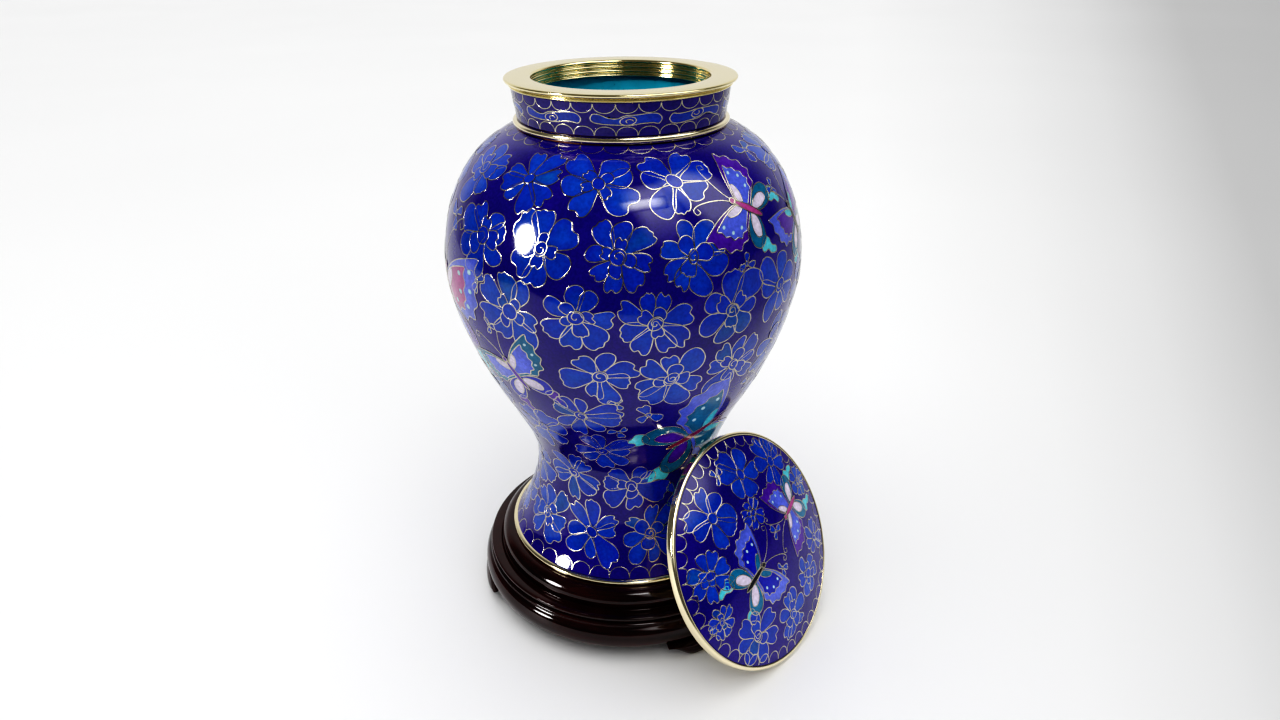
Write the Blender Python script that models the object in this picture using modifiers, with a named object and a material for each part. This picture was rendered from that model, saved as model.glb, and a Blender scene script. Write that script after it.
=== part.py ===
"""Lidded cloisonne vase on a turned wooden stand, with the lid leaning beside it.

Metres, +Z up. The stand's feet are on z = 0. The vase and the stand share one
upright axis; the box round everything is centred on the origin.
"""
import math

import bmesh
import bpy
from mathutils import Matrix, Vector

MM = 0.001
STEPS = 32          # facets round every turned piece
FIT = 0.3           # clearance between neighbouring pieces, mm

# where the upright axis stands, so the whole box is centred on the origin, mm
AXIS_X = -10.95
AXIS_Y = 9.8

# stand, mm above the table
SEAT_Z = 36.7       # top of the seat the vase stands on
LEDGE_Z = 27.8      # flat ledge round the seat
SKIRT_TOP = 24.6
SKIRT_BOTTOM = 9.7
SEAT_R = 67.2
LEDGE_R = 78.2
SKIRT_R = 81.9
PANEL_R = 50.0
PANEL_THICK = 6.0

# feet of the stand, mm and degrees
FOOT_ANGLES = (-55.5, 64.5, 184.5)
FOOT_HALF = 21.0
FOOT_FLAT = 10.5
FOOT_OUT = 83.0
FOOT_IN = 66.0
FOOT_TOP = 9.4
PIN_R = 3.0
PIN_LONG = 11.0
PIN_RING = 74.0

# vase, mm above the underside of its foot ring
VASE_Z = 37.0
VASE_TALL = 240.0
PROFILE = ((2.8, 62.7), (9.0, 58.6), (18.0, 54.6), (30.0, 50.4), (44.0, 48.3),
           (58.0, 49.9), (76.0, 57.4), (98.0, 68.9), (122.0, 79.0),
           (144.0, 84.6), (160.0, 85.7), (178.0, 83.0), (195.0, 76.2),
           (207.0, 67.2), (214.5, 57.4), (219.0, 48.4))
SEAM = 9            # the knot where the two copper halves meet
ENAMEL = 0.9        # thickness of the fired enamel
COPPER = 1.0
LINING = 0.7

# neck and mouth
NECK_FOOT_R = 47.6
NECK_TOP_R = 49.5
NECK_Z = (222.6, 236.2)
COLLAR_R = 49.1
COLLAR_Z = (219.6, 222.3)
SLEEVE_R = 46.2
SLEEVE_Z = 216.6
MOUTH_R = 52.5
BORE_R = 40.3
INSERT_R = 44.6
INSERT_Z = 232.4
THREAD_DEEP = 0.9
THREAD_PITCH = 2.1

# lid, mm: its rim plane is its own z = 0 and its dome is towards its own +z
LID_R = 59.2
LID_BAND = 4.6
LID_FACE_R = 57.2
LID_DOME = 9.0
LID_LIP_R = 52.5
PLUG_R = 39.6
PLUG_LONG = 6.5
PLUG_BORE_R = 36.4

# how the lid leans: centre of its rim plane from the axis, and its dome's way
LID_AT = (61.15, -54.6, 51.8)
LID_TURN = -40.56
LID_TILT = 28.5

# the vase lifts up and back from the lid at this angle from the upright
LIFT_LEAN = 30.0

COLOURS = {
    "rosewood": ((0.030, 0.010, 0.007, 1.0), 0.16, 0.0),
    "rosewood_end": ((0.045, 0.018, 0.011, 1.0), 0.35, 0.0),
    "brass": ((0.86, 0.68, 0.42, 1.0), 0.18, 1.0),
    "copper": ((0.72, 0.36, 0.22, 1.0), 0.32, 1.0),
    "cobalt": ((0.022, 0.020, 0.36, 1.0), 0.08, 0.0),
    "turquoise": ((0.05, 0.40, 0.44, 1.0), 0.15, 0.0),
}


def clear_scene():
    """Remove whatever the file opened with."""
    for obj in list(bpy.data.objects):
        bpy.data.objects.remove(obj, do_unlink=True)


def collection(name, hidden=False):
    """A collection linked under the scene."""
    made = bpy.data.collections.new(name)
    bpy.context.scene.collection.children.link(made)
    made.hide_render = hidden
    return made


def material(node, kind):
    """A Principled material of its own for one node."""
    colour, rough, metal = COLOURS[kind]
    made = bpy.data.materials.new(node + "_" + kind)
    made.use_nodes = True
    shader = made.node_tree.nodes["Principled BSDF"]
    shader.inputs["Base Color"].default_value = colour
    shader.inputs["Roughness"].default_value = rough
    shader.inputs["Metallic"].default_value = metal
    made.diffuse_color = colour
    made.roughness = rough
    made.metallic = metal
    return made


def empty(name, matrix):
    """A parent empty that stands on a joint's axis."""
    made = bpy.data.objects.new(name, None)
    made.empty_display_size = 0.02
    made.matrix_world = matrix
    PARTS.objects.link(made)
    return made


def add(name, mesh, kind, parent):
    """An object for one node, hung on its parent empty."""
    made = bpy.data.objects.new(name, mesh)
    made.data.materials.append(material(name, kind))
    made.parent = parent
    PARTS.objects.link(made)
    return made


def turned(name, outline, kind, parent):
    """A piece turned from a closed outline of (radius, height), in mm.

    The outline runs down the outer side and back up the inner side.
    """
    mesh = bpy.data.meshes.new(name)
    points = [(r * MM, 0.0, z * MM) for r, z in outline]
    count = len(points)
    closed = outline[0][0] > 0.0 or outline[-1][0] > 0.0
    last = count if closed else count - 1
    edges = [(i, (i + 1) % count) for i in range(last)]
    mesh.from_pydata(points, edges, [])
    made = add(name, mesh, kind, parent)
    screw = made.modifiers.new("turn", "SCREW")
    screw.axis = "Z"
    screw.angle = math.tau
    screw.steps = STEPS
    screw.render_steps = STEPS
    screw.use_merge_vertices = True
    screw.merge_threshold = 0.00001
    screw.use_smooth_shade = True
    return made


def bore_out(target, cutters):
    """Cut each cutter out of the target."""
    for cutter in cutters:
        cut = target.modifiers.new("cut_" + cutter.name, "BOOLEAN")
        cut.operation = "DIFFERENCE"
        cut.solver = "EXACT"
        cut.object = cutter


def rod(name, radius, low, high, spot, sides=12):
    """An upright rod's mesh and place, for a pin or for the hole it sits in."""
    mesh = bpy.data.meshes.new(name)
    work = bmesh.new()
    bmesh.ops.create_cone(work, cap_ends=True, segments=sides, radius1=radius * MM,
                          radius2=radius * MM, depth=(high - low) * MM)
    bmesh.ops.translate(work, verts=work.verts,
                        vec=(spot[0] * MM, spot[1] * MM, (low + high) / 2.0 * MM))
    for face in work.faces:
        face.smooth = len(face.verts) == 4
    work.to_mesh(mesh)
    work.free()
    return mesh


def offset(points, depth):
    """Points moved square to a run of points by depth, towards the axis."""
    moved = []
    for i, here in enumerate(points):
        before = points[max(i - 1, 0)]
        after = points[min(i + 1, len(points) - 1)]
        ways = []
        for a, b in ((before, here), (here, after)):
            if a == b:
                continue
            run = Vector((b[0] - a[0], b[1] - a[1])).normalized()
            ways.append(Vector((run.y, -run.x)))
        mean = sum(ways, Vector((0.0, 0.0))).normalized()
        reach = depth / mean.dot(ways[0])
        moved.append((here[0] - mean.x * reach, here[1] - mean.y * reach))
    return moved


def slide_end(end, inner, axis, value):
    """The end of a run moved along its last stretch until one coordinate fits."""
    share = (value - inner[axis]) / (end[axis] - inner[axis])
    return tuple(inner[k] + (end[k] - inner[k]) * share for k in range(2))


def wall(depth, low, high_r):
    """The body's side at a depth under its glazed surface, bottom to top."""
    side = offset([(r, z) for z, r in PROFILE], depth)
    side[0] = slide_end(side[0], side[1], 1, low)
    side[-1] = slide_end(side[-1], side[-2], 0, high_r)
    return side


def dome(depth, edge_r, points=6):
    """The lid's top at a depth under its glazed surface, centre to edge."""
    sphere = (LID_FACE_R ** 2 + LID_DOME ** 2) / (2.0 * LID_DOME)
    middle = LID_BAND - 0.2 + LID_DOME - sphere
    radius = sphere - depth
    side = []
    for i in range(points):
        r = edge_r * (i / (points - 1)) ** 0.8
        side.append((r, middle + math.sqrt(radius ** 2 - r ** 2)))
    return side


def threads(radius, deep, low, count):
    """Corners of a few thread grooves, one above the other, bottom to top."""
    made = []
    for i in range(count):
        base = low + i * THREAD_PITCH
        made += [(radius, base), (radius + deep, base + 0.35),
                 (radius + deep, base + 0.95), (radius, base + 1.3)]
    return made


def foot_block(name, angle, parent):
    """A bracket foot: a curved block whose shoulders sweep up to the skirt."""
    cuts = (-FOOT_HALF, -17.0, -13.8, -FOOT_FLAT, 0.0,
            FOOT_FLAT, 13.8, 17.0, FOOT_HALF)
    mesh = bpy.data.meshes.new(name)
    work = bmesh.new()
    rings = []
    for cut in cuts:
        way = max(0.0, (abs(cut) - FOOT_FLAT) / (FOOT_HALF - FOOT_FLAT))
        low = (FOOT_TOP - 0.9) * way * way * (3.0 - 2.0 * way)
        tall = FOOT_TOP - low
        turn = math.radians(angle + cut)
        section = ((FOOT_OUT - 1.6, FOOT_TOP), (FOOT_OUT, FOOT_TOP - 0.35 * tall),
                   (FOOT_OUT - 0.2, low + 0.3 * tall), (FOOT_OUT - 1.4, low),
                   (FOOT_IN + 1.0, low), (FOOT_IN, FOOT_TOP))
        rings.append([work.verts.new((r * math.cos(turn) * MM, r * math.sin(turn) * MM,
                                      z * MM)) for r, z in section])
    count = len(rings[0])
    for a, b in zip(rings, rings[1:]):
        for i in range(count):
            j = (i + 1) % count
            work.faces.new((a[i], a[j], b[j], b[i]))
    work.faces.new(rings[0])
    work.faces.new(list(reversed(rings[-1])))
    bmesh.ops.recalc_face_normals(work, faces=work.faces)
    work.to_mesh(mesh)
    work.free()
    return add(name, mesh, "rosewood", parent)


def build_stand(root):
    """Two turned mouldings, a seat panel and three pinned feet."""
    turned("stand_moulding",
           [(SEAT_R - 1.4, SEAT_Z), (SEAT_R + 1.2, SEAT_Z - 0.8), (SEAT_R + 3.4, SEAT_Z - 3.2),
            (SEAT_R + 4.4, SEAT_Z - 6.4), (SEAT_R + 3.9, LEDGE_Z - 0.6),
            (SEAT_R + 4.9, LEDGE_Z - 0.6), (SEAT_R + 5.2, LEDGE_Z),
            (LEDGE_R - 0.8, LEDGE_Z), (LEDGE_R, LEDGE_Z - 0.8),
            (LEDGE_R - 0.4, SKIRT_TOP + FIT), (PANEL_R - 4.0, SKIRT_TOP + FIT),
            (PANEL_R - 4.0, SEAT_Z - PANEL_THICK - FIT),
            (PANEL_R + FIT, SEAT_Z - PANEL_THICK - FIT), (PANEL_R + FIT, SEAT_Z)],
           "rosewood", root)
    skirt = turned("stand_skirt",
                   [(LEDGE_R - 0.6, SKIRT_TOP), (LEDGE_R + 0.5, SKIRT_TOP - 1.0),
                    (LEDGE_R + 0.2, SKIRT_TOP - 2.2), (SKIRT_R - 1.0, SKIRT_TOP - 4.4),
                    (SKIRT_R, SKIRT_TOP - 8.6), (SKIRT_R - 0.7, SKIRT_BOTTOM + 2.4),
                    (SKIRT_R - 2.8, SKIRT_BOTTOM), (FOOT_IN - 1.0, SKIRT_BOTTOM),
                    (FOOT_IN - 1.0, SKIRT_TOP)],
                   "rosewood", root)
    turned("stand_panel",
           [(0.0, SEAT_Z), (PANEL_R, SEAT_Z), (PANEL_R, SEAT_Z - PANEL_THICK),
            (0.0, SEAT_Z - PANEL_THICK)],
           "rosewood_end", root)
    low = SKIRT_BOTTOM - PIN_LONG / 2.0
    high = SKIRT_BOTTOM + PIN_LONG / 2.0
    for side, angle in zip(("right", "back", "left"), FOOT_ANGLES):
        turn = math.radians(angle)
        spot = (PIN_RING * math.cos(turn), PIN_RING * math.sin(turn))
        foot = foot_block("stand_foot_" + side, angle, root)
        add("foot_pin_" + side, rod("foot_pin_" + side, PIN_R, low, high, spot),
            "rosewood_end", root)
        hole = bpy.data.objects.new("hole_" + side, rod("hole_" + side, PIN_R + FIT,
                                                        low - FIT, high + FIT, spot))
        hole.parent = root
        hole.display_type = "WIRE"
        hole.hide_render = True
        CUTTERS.objects.link(hole)
        bore_out(foot, [hole])
        bore_out(skirt, [hole])


def build_vase(root):
    """Copper halves under fired enamel, lined inside, with brass rings."""
    low = PROFILE[0][0]
    outer = wall(0.0, low, 48.2)
    inner = wall(ENAMEL, low, 48.2)
    turned("body_enamel", outer[::-1] + inner, "cobalt", root)
    skin = ENAMEL + FIT
    outer = wall(skin, low, SLEEVE_R + 0.4)
    inner = wall(skin + COPPER, low, SLEEVE_R + 0.4)
    seam = ((outer[SEAM][0], outer[SEAM][1] + FIT), (inner[SEAM][0], outer[SEAM][1] + FIT))
    turned("body_upper_shell",
           outer[:SEAM:-1] + [seam[0], seam[1]] + inner[SEAM + 1:], "copper", root)
    level = (inner[SEAM][0], outer[SEAM][1])
    turned("body_lower_shell",
           outer[SEAM::-1] + inner[:SEAM] + [level], "copper", root)
    skin = skin + COPPER + FIT
    base = 5.0
    outer = wall(skin, base, SLEEVE_R + 0.4)
    inner = wall(skin + LINING, base + LINING, SLEEVE_R + 0.4)
    turned("lining_enamel",
           outer[::-1] + [(0.0, base), (0.0, base + LINING)] + inner, "turquoise", root)
    floor_r = wall(skin, low, SLEEVE_R + 0.4)[0][0]
    turned("base_plate",
           [(0.0, base - FIT), (floor_r - 1.0, base - FIT), (floor_r - 0.4, low + 0.3),
            (floor_r - 0.8, low + 0.2), (0.0, low + 0.2)], "copper", root)
    turned("foot_ring",
           [(63.8, low - FIT), (64.7, 1.9), (64.7, 0.5), (64.2, 0.0), (58.6, 0.0),
            (58.6, low - FIT)], "brass", root)
    low_z, high_z = NECK_Z
    turned("neck_enamel",
           [(NECK_TOP_R, high_z), (NECK_TOP_R - 0.8, high_z - 6.0), (NECK_FOOT_R, low_z),
            (NECK_FOOT_R - ENAMEL, low_z), (NECK_TOP_R - 0.8 - ENAMEL, high_z - 6.0),
            (NECK_TOP_R - ENAMEL, high_z)], "cobalt", root)
    skin = ENAMEL + FIT
    turned("neck_sleeve",
           [(NECK_TOP_R - skin, high_z), (NECK_TOP_R - 0.8 - skin, high_z - 6.0),
            (SLEEVE_R, low_z), (SLEEVE_R, SLEEVE_Z), (INSERT_R + FIT, SLEEVE_Z),
            (INSERT_R + FIT, high_z)], "copper", root)
    turned("collar_ring",
           [(COLLAR_R - 0.7, COLLAR_Z[1]), (COLLAR_R, COLLAR_Z[1] - 0.8),
            (COLLAR_R, COLLAR_Z[0] + 0.8), (COLLAR_R - 0.6, COLLAR_Z[0]),
            (SLEEVE_R + FIT, COLLAR_Z[0]), (SLEEVE_R + FIT, COLLAR_Z[1])],
           "brass", root)
    turned("neck_lining",
           [(INSERT_R, INSERT_Z - FIT), (INSERT_R, SLEEVE_Z), (INSERT_R - LINING, SLEEVE_Z),
            (INSERT_R - LINING, INSERT_Z - FIT)], "turquoise", root)
    bore = threads(BORE_R, THREAD_DEEP, INSERT_Z + 0.6, 3)
    turned("mouth_ring",
           [(MOUTH_R - 0.5, VASE_TALL), (MOUTH_R, VASE_TALL - 0.6),
            (MOUTH_R - 0.9, VASE_TALL - 1.9), (50.2, VASE_TALL - 2.7),
            (50.4, VASE_TALL - 3.1), (49.9, high_z + FIT), (INSERT_R, high_z + FIT),
            (INSERT_R, INSERT_Z), (BORE_R, INSERT_Z)] + bore
           + [(BORE_R, VASE_TALL - 0.5), (BORE_R + 0.5, VASE_TALL)], "brass", root)


def build_lid(root):
    """An enamelled copper dome in a brass band, with a threaded plug ring."""
    edge = LID_FACE_R - 0.3
    top = dome(0.0, edge)
    under = dome(ENAMEL, edge)
    turned("lid_enamel", top + under[::-1], "cobalt", root)
    skin = ENAMEL + FIT
    shell = dome(skin, edge)
    inner = dome(skin + COPPER, edge - COPPER)
    turned("lid_dome_shell",
           shell + [(edge, 1.5), (edge - COPPER, 1.5)] + inner[::-1], "copper", root)
    skin = skin + COPPER + FIT
    edge = edge - COPPER - FIT
    turned("lid_lining", dome(skin, edge) + dome(skin + LINING, edge)[::-1],
           "turquoise", root)
    turned("lid_rim_band",
           [(LID_R - 0.9, LID_BAND), (LID_R, LID_BAND - 0.8), (LID_R, 0.7),
            (LID_R - 0.5, 0.0), (LID_LIP_R, 0.0), (LID_LIP_R, 1.2), (LID_FACE_R, 1.2),
            (LID_FACE_R, LID_BAND - 0.3), (LID_FACE_R + 0.4, LID_BAND)], "brass", root)
    turned("lid_plug_ring",
           [(LID_LIP_R - FIT, 1.2), (LID_LIP_R - FIT, 0.0), (PLUG_R, 0.0)]
           + threads(PLUG_R, -THREAD_DEEP, THREAD_PITCH - PLUG_LONG - 1.3, 2)[::-1]
           + [(PLUG_R - 0.5, -PLUG_LONG), (PLUG_BORE_R, -PLUG_LONG), (PLUG_BORE_R, 1.2)],
           "brass", root)


clear_scene()
PARTS = collection("cloisonne_vase")
CUTTERS = collection("cutters", hidden=True)

AXIS = Matrix.Translation(Vector((AXIS_X, AXIS_Y, 0.0)) * MM)
LID_PLACE = (AXIS @ Matrix.Translation(Vector(LID_AT) * MM)
             @ Matrix.Rotation(math.radians(LID_TURN), 4, "Z")
             @ Matrix.Rotation(math.radians(90.0 - LID_TILT), 4, "Y"))

build_stand(empty("stand", AXIS))
build_vase(empty("vase_lift", AXIS @ Matrix.Translation((0.0, 0.0, VASE_Z * MM))))
build_lid(empty("lid_lift", LID_PLACE))
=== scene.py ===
"""The looks of a lidded cloisonne vase: fired glass cells, gilt wires, brass rings, a lacquered stand.

Lengths in this script are millimetres until they reach a mesh, which is in metres. Every piece is
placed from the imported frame: the vase's axis, its foot plane and the leaning lid are read from it.
"""
import math
import random

import bpy
import numpy as np
from mathutils import Matrix, Vector


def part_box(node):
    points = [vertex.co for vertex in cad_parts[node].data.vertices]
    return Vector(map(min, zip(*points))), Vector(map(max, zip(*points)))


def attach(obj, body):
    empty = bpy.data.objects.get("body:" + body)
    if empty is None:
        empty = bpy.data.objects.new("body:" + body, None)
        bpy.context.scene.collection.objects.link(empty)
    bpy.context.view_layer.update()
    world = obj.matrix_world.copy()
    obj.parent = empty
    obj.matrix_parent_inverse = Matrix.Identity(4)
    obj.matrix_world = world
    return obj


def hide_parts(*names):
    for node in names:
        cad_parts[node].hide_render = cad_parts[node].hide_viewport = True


MM = 0.001
TURN_STEPS = 224            # steps round every turned piece

# the vase, heights above the underside of its foot ring
BODY_OUTLINE = ((2.8, 62.7), (9.0, 58.6), (18.0, 54.6), (30.0, 50.4), (44.0, 48.3), (58.0, 49.9),
                (76.0, 57.4), (98.0, 68.9), (122.0, 79.0), (144.0, 84.6), (160.0, 85.7),
                (178.0, 83.0), (195.0, 76.2), (207.0, 67.2), (214.5, 57.4), (219.0, 48.4))
NECK_OUTLINE = ((222.6, 47.6), (226.0, 47.95), (230.2, 48.65), (233.4, 49.15), (236.2, 49.5))
ENAMEL = 0.9
COPPER = 1.0
LINING = 0.7
FIT = 0.3
MOUTH_Z = 240.0
INSERT_Z = 232.4            # underside of the brass insert in the neck
INSERT_R = 44.6
BORE_R = 40.3
THREAD_PITCH = 2.1
SHOULDER_Z = 200.0          # above this the lining is cut off where it closes in on the neck
SKIN = ENAMEL + FIT + COPPER + FIT      # depth of the lining under the glaze

# the lid, in its own frame: rim plane at z = 0, dome towards +z
LID_BAND = 4.6
PLUG_R = 39.6
LID_FACE_R = 57.2
LID_DOME = 9.0

# the pattern
WIRE = 0.46                 # width of a wire on the vase
ARCH_WIRE = 0.38            # width of the wires of the body's and neck's arches
LID_ARCH_WIRE = 0.44
LAYER = 0.035               # each layer of glass stands this much over the one under it
LOWEST = 0.05               # the first layer's height over the ground
RING_STEP = 2.4             # widest step inside a cell
FLOWER_GAP = 0.7            # ground left between a petal and its neighbours' share

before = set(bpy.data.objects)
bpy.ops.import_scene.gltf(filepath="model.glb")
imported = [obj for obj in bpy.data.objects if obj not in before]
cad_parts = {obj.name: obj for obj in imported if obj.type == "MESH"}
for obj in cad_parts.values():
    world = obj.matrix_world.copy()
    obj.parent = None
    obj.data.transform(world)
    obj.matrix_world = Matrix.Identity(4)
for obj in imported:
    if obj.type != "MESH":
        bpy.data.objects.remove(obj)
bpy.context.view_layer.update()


def middle(node):
    """The centre of a node's box, in mm."""
    low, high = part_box(node)
    return (low + high) / 2.0 / MM


AXIS_AT = middle("body_enamel")
FOOT_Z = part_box("foot_ring")[0].z / MM


def lid_frame():
    """The matrix from the lid's own mm to world mm, read from its brass band."""
    points = np.array([v.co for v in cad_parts["lid_rim_band"].data.vertices]) / MM
    centre = points.mean(axis=0)
    way = np.linalg.svd(points - centre, full_matrices=False)[2][2]     # its thinnest way
    if way @ (np.array(middle("lid_enamel")) - centre) < 0.0:
        way = -way
    foot = ((points - centre) @ way).min()
    up = Vector(way)
    downhill = (Vector((0.0, 0.0, -1.0)) - up * -up.z).normalized()
    across = up.cross(downhill)
    place = Matrix((downhill, across, up)).transposed().to_4x4()
    place.translation = Vector(centre) + up * foot
    return place


LID_PLACE = lid_frame()
VASE_PLACE = Matrix.Translation((AXIS_AT.x, AXIS_AT.y, FOOT_Z))
STAND_PLACE = Matrix.Translation((AXIS_AT.x, AXIS_AT.y, 0.0))


def show(thing):
    """Put an object in the scene."""
    bpy.context.scene.collection.objects.link(thing)


# ---- curves

def smooth(points, steps=6, closed=True):
    """A Catmull-Rom curve through the points."""
    control = np.array(points, float)
    count = len(control)
    if closed:
        index = np.arange(count)
        before, here, after, beyond = (control[(index + k) % count] for k in (-1, 0, 1, 2))
    else:
        padded = np.vstack((2 * control[0] - control[1], control, 2 * control[-1] - control[-2]))
        before, here, after, beyond = (padded[k:k + count - 1] for k in range(4))
    made = []
    for t in np.arange(steps) / steps:
        made.append(0.5 * (2 * here + (after - before) * t
                           + (2 * before - 5 * here + 4 * after - beyond) * t * t
                           + (3 * here - before - 3 * after + beyond) * t ** 3))
    curve = np.stack(made, axis=1).reshape(-1, control.shape[1])
    if not closed:
        curve = np.vstack((curve, control[-1]))
    return curve


def spun(points, turn, size=1.0, at=(0.0, 0.0)):
    """Plane points scaled, turned anticlockwise by an angle in radians, then moved."""
    c, s = math.cos(turn), math.sin(turn)
    return np.array(points, float) @ np.array(((c, s), (-s, c))) * size + np.array(at)


def oval(wide, tall, count=28, at=(0.0, 0.0), turn=0.0):
    """An ellipse's outline."""
    angle = np.arange(count) * math.tau / count
    return spun(np.stack((wide * np.cos(angle), tall * np.sin(angle)), axis=1), turn, 1.0, at)


def rounded(outline, radius=0.5, steps=4):
    """A closed outline of (radius, height) with each corner turned into a small arc."""
    count = len(outline)
    made = []
    for i in range(count):
        here = Vector(outline[i])
        sides = [Vector(outline[i - 1]) - here, Vector(outline[(i + 1) % count]) - here]
        reach = [min(radius, 0.45 * side.length) for side in sides]
        a, b = (here + side.normalized() * cut for side, cut in zip(sides, reach))
        for k in range(steps + 1):
            t = k / steps
            made.append(tuple(a * (1 - t) ** 2 + here * 2 * t * (1 - t) + b * t * t))
    return made


# ---- surfaces that carry the pattern

class TurnedGround:
    """A turned surface. A place on it is (angle in degrees, distance up its side in mm)."""

    def __init__(self, outline, place):
        curve = smooth([(r, z) for z, r in outline], 24, closed=False)
        steps = np.hypot(*np.diff(curve, axis=0).T)
        self.up = np.concatenate(((0.0,), np.cumsum(steps)))
        self.r, self.z = curve.T
        slope = np.gradient(curve, self.up, axis=0)
        self.slope = slope / np.linalg.norm(slope, axis=1)[:, None]
        self.place = place
        self.length = self.up[-1]

    def at_height(self, z):
        """The distance up the side at a height."""
        return float(np.interp(z, self.z, self.up))

    def radius(self, up):
        """The radius at a distance up the side."""
        return float(np.interp(up, self.up, self.r))

    def lay(self, spot, points, lift):
        """Plane points, x to the right and y up the side, laid on the surface in world metres."""
        up = spot[1] + points[:, 1]
        r, z, dr, dz = (np.interp(up, self.up, row) for row in (self.r, self.z, *self.slope.T))
        angle = math.radians(spot[0]) + points[:, 0] / r
        c, s = np.cos(angle), np.sin(angle)
        normals = np.stack((dz * c, dz * s, -dr), axis=1)
        here = np.stack((r * c, r * s, z), axis=1) + normals * np.reshape(lift, (-1, 1))
        return to_world(here, normals, self.place)


class DomeGround:
    """The lid's dome. A place on it is (right, up the slope) from its middle, in mm."""

    def __init__(self, place):
        self.sphere = (LID_FACE_R ** 2 + LID_DOME ** 2) / (2.0 * LID_DOME)
        self.low = LID_BAND - 0.2 + LID_DOME - self.sphere
        self.place = place

    def height(self, r):
        """The dome's height at a distance from its middle."""
        return self.low + np.sqrt(self.sphere ** 2 - r ** 2)

    def lay(self, spot, points, lift):
        """Plane points laid on the dome in world metres."""
        x = -(points[:, 1] + spot[1])
        y = points[:, 0] + spot[0]
        z = self.height(np.hypot(x, y))
        normals = np.stack((x, y, z - self.low), axis=1) / self.sphere
        here = np.stack((x, y, z), axis=1) + normals * np.reshape(lift, (-1, 1))
        return to_world(here, normals, self.place)


def to_world(points, normals, place):
    """Points and normals of a piece's own frame in mm, taken to world metres."""
    turn = np.array(place.to_3x3())
    return (points @ turn.T + np.array(place.translation)) * MM, normals @ turn.T


BODY = TurnedGround(BODY_OUTLINE, VASE_PLACE)
NECK = TurnedGround(NECK_OUTLINE, VASE_PLACE)
DOME = DomeGround(LID_PLACE)


# ---- materials

class Nodes:
    """A node tree, written as short calls."""

    def __init__(self, owner):
        owner.use_nodes = True
        self.tree = owner.node_tree

    def node(self, kind, **values):
        """A node with its properties and input values set."""
        made = self.tree.nodes.new(kind)
        for key, value in values.items():
            if hasattr(made, key):
                setattr(made, key, value)
            else:
                self.feed(made.inputs[key.replace("_", " ")], value)
        return made

    def feed(self, socket, value):
        """A socket's link from an output, or its own value; a colour gets its alpha."""
        if isinstance(value, bpy.types.NodeSocket):
            self.tree.links.new(value, socket)
        else:
            socket.default_value = (*value, 1.0) if socket.type == "RGBA" else value

    def split(self, vector):
        """The X, Y and Z outputs of a vector."""
        return self.node("ShaderNodeSeparateXYZ", Vector=vector).outputs

    def ramp(self, value, stops):
        """A value or colour read off a ramp."""
        made = self.node("ShaderNodeValToRGB", Fac=value)
        band = made.color_ramp.elements
        while len(band) < len(stops):
            band.new(0.5)
        for element, (spot, colour) in zip(band, stops):
            element.position = spot
            element.color = (*colour, 1.0) if isinstance(colour, tuple) else (colour,) * 3 + (1.0,)
        return made.outputs["Color"]

    def mix(self, factor, a, b, kind="MIX"):
        """Two colours mixed by a factor; each is a colour or an output."""
        made = self.node("ShaderNodeMix", data_type="RGBA", blend_type=kind)
        for socket, value in ((0, factor), (6, a), (7, b)):
            self.feed(made.inputs[socket], value)
        return made.outputs[2]

    def maths(self, kind, *values):
        """The result of a sum on numbers and outputs."""
        made = self.node("ShaderNodeMath", operation=kind)
        for socket, value in zip(made.inputs, values):
            self.feed(socket, value)
        return made.outputs["Value"]


class Look(Nodes):
    """A procedural material over the object's own coordinates."""

    def __init__(self, name, **sockets):
        self.material = bpy.data.materials.new(name)
        super().__init__(self.material)
        self.shader = self.tree.nodes["Principled BSDF"]
        self.put(**sockets)
        self.coords = self.node("ShaderNodeTexCoord").outputs["Object"]

    def put(self, **sockets):
        """Values or links for the shader's own sockets."""
        for key, value in sockets.items():
            self.feed(self.shader.inputs[key.replace("_", " ")], value)

    def noise(self, scale, detail=3.0, stretch=(1.0, 1.0, 1.0), rough=0.5):
        """Noise from 0 to 1."""
        space = self.node("ShaderNodeMapping", Vector=self.coords, Scale=stretch).outputs["Vector"]
        return self.node("ShaderNodeTexNoise", Vector=space, Scale=scale, Detail=detail,
                         Roughness=rough).outputs["Fac"]

    def specks(self, scale, share):
        """Small round specks, 1 inside a speck and 0 outside it."""
        far = self.node("ShaderNodeTexVoronoi", Vector=self.coords, Scale=scale).outputs["Distance"]
        return self.ramp(far, ((0.0, 1.0), (share, 0.7), (share * 1.5, 0.0)))

    def colour(self, value):
        """The base colour."""
        self.put(Base_Color=value)

    def roughness(self, value, low, high):
        """Roughness that varies with a value between two levels."""
        self.put(Roughness=self.node("ShaderNodeMapRange", Value=value, To_Min=low,
                                     To_Max=high).outputs["Result"])

    def bump(self, height, strength, distance):
        """A bump of a given depth in metres."""
        self.put(Normal=self.node("ShaderNodeBump", Height=height, Strength=strength,
                                  Distance=distance).outputs["Normal"])


def ground_look():
    """Deep cobalt ground glass, with the cloudiness and pinholes of fired and polished enamel."""
    look = Look("cobalt_ground", Roughness=0.07, IOR=1.46)
    cloud = look.ramp(look.noise(42.0, 4.0), ((0.30, (0.013, 0.0030, 0.150)), (0.72, (0.025, 0.0050, 0.265))))
    fine = look.noise(900.0, 2.0)
    grain = look.ramp(fine, ((0.35, (0.011, 0.0025, 0.135)), (0.65, (0.027, 0.0070, 0.285))))
    body = look.mix(0.35, cloud, grain)
    look.colour(look.mix(look.specks(330.0, 0.05), body, (0.006, 0.004, 0.045)))
    look.bump(look.noise(55.0, 2.0), 0.10, 0.0006)
    return look.material


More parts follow.
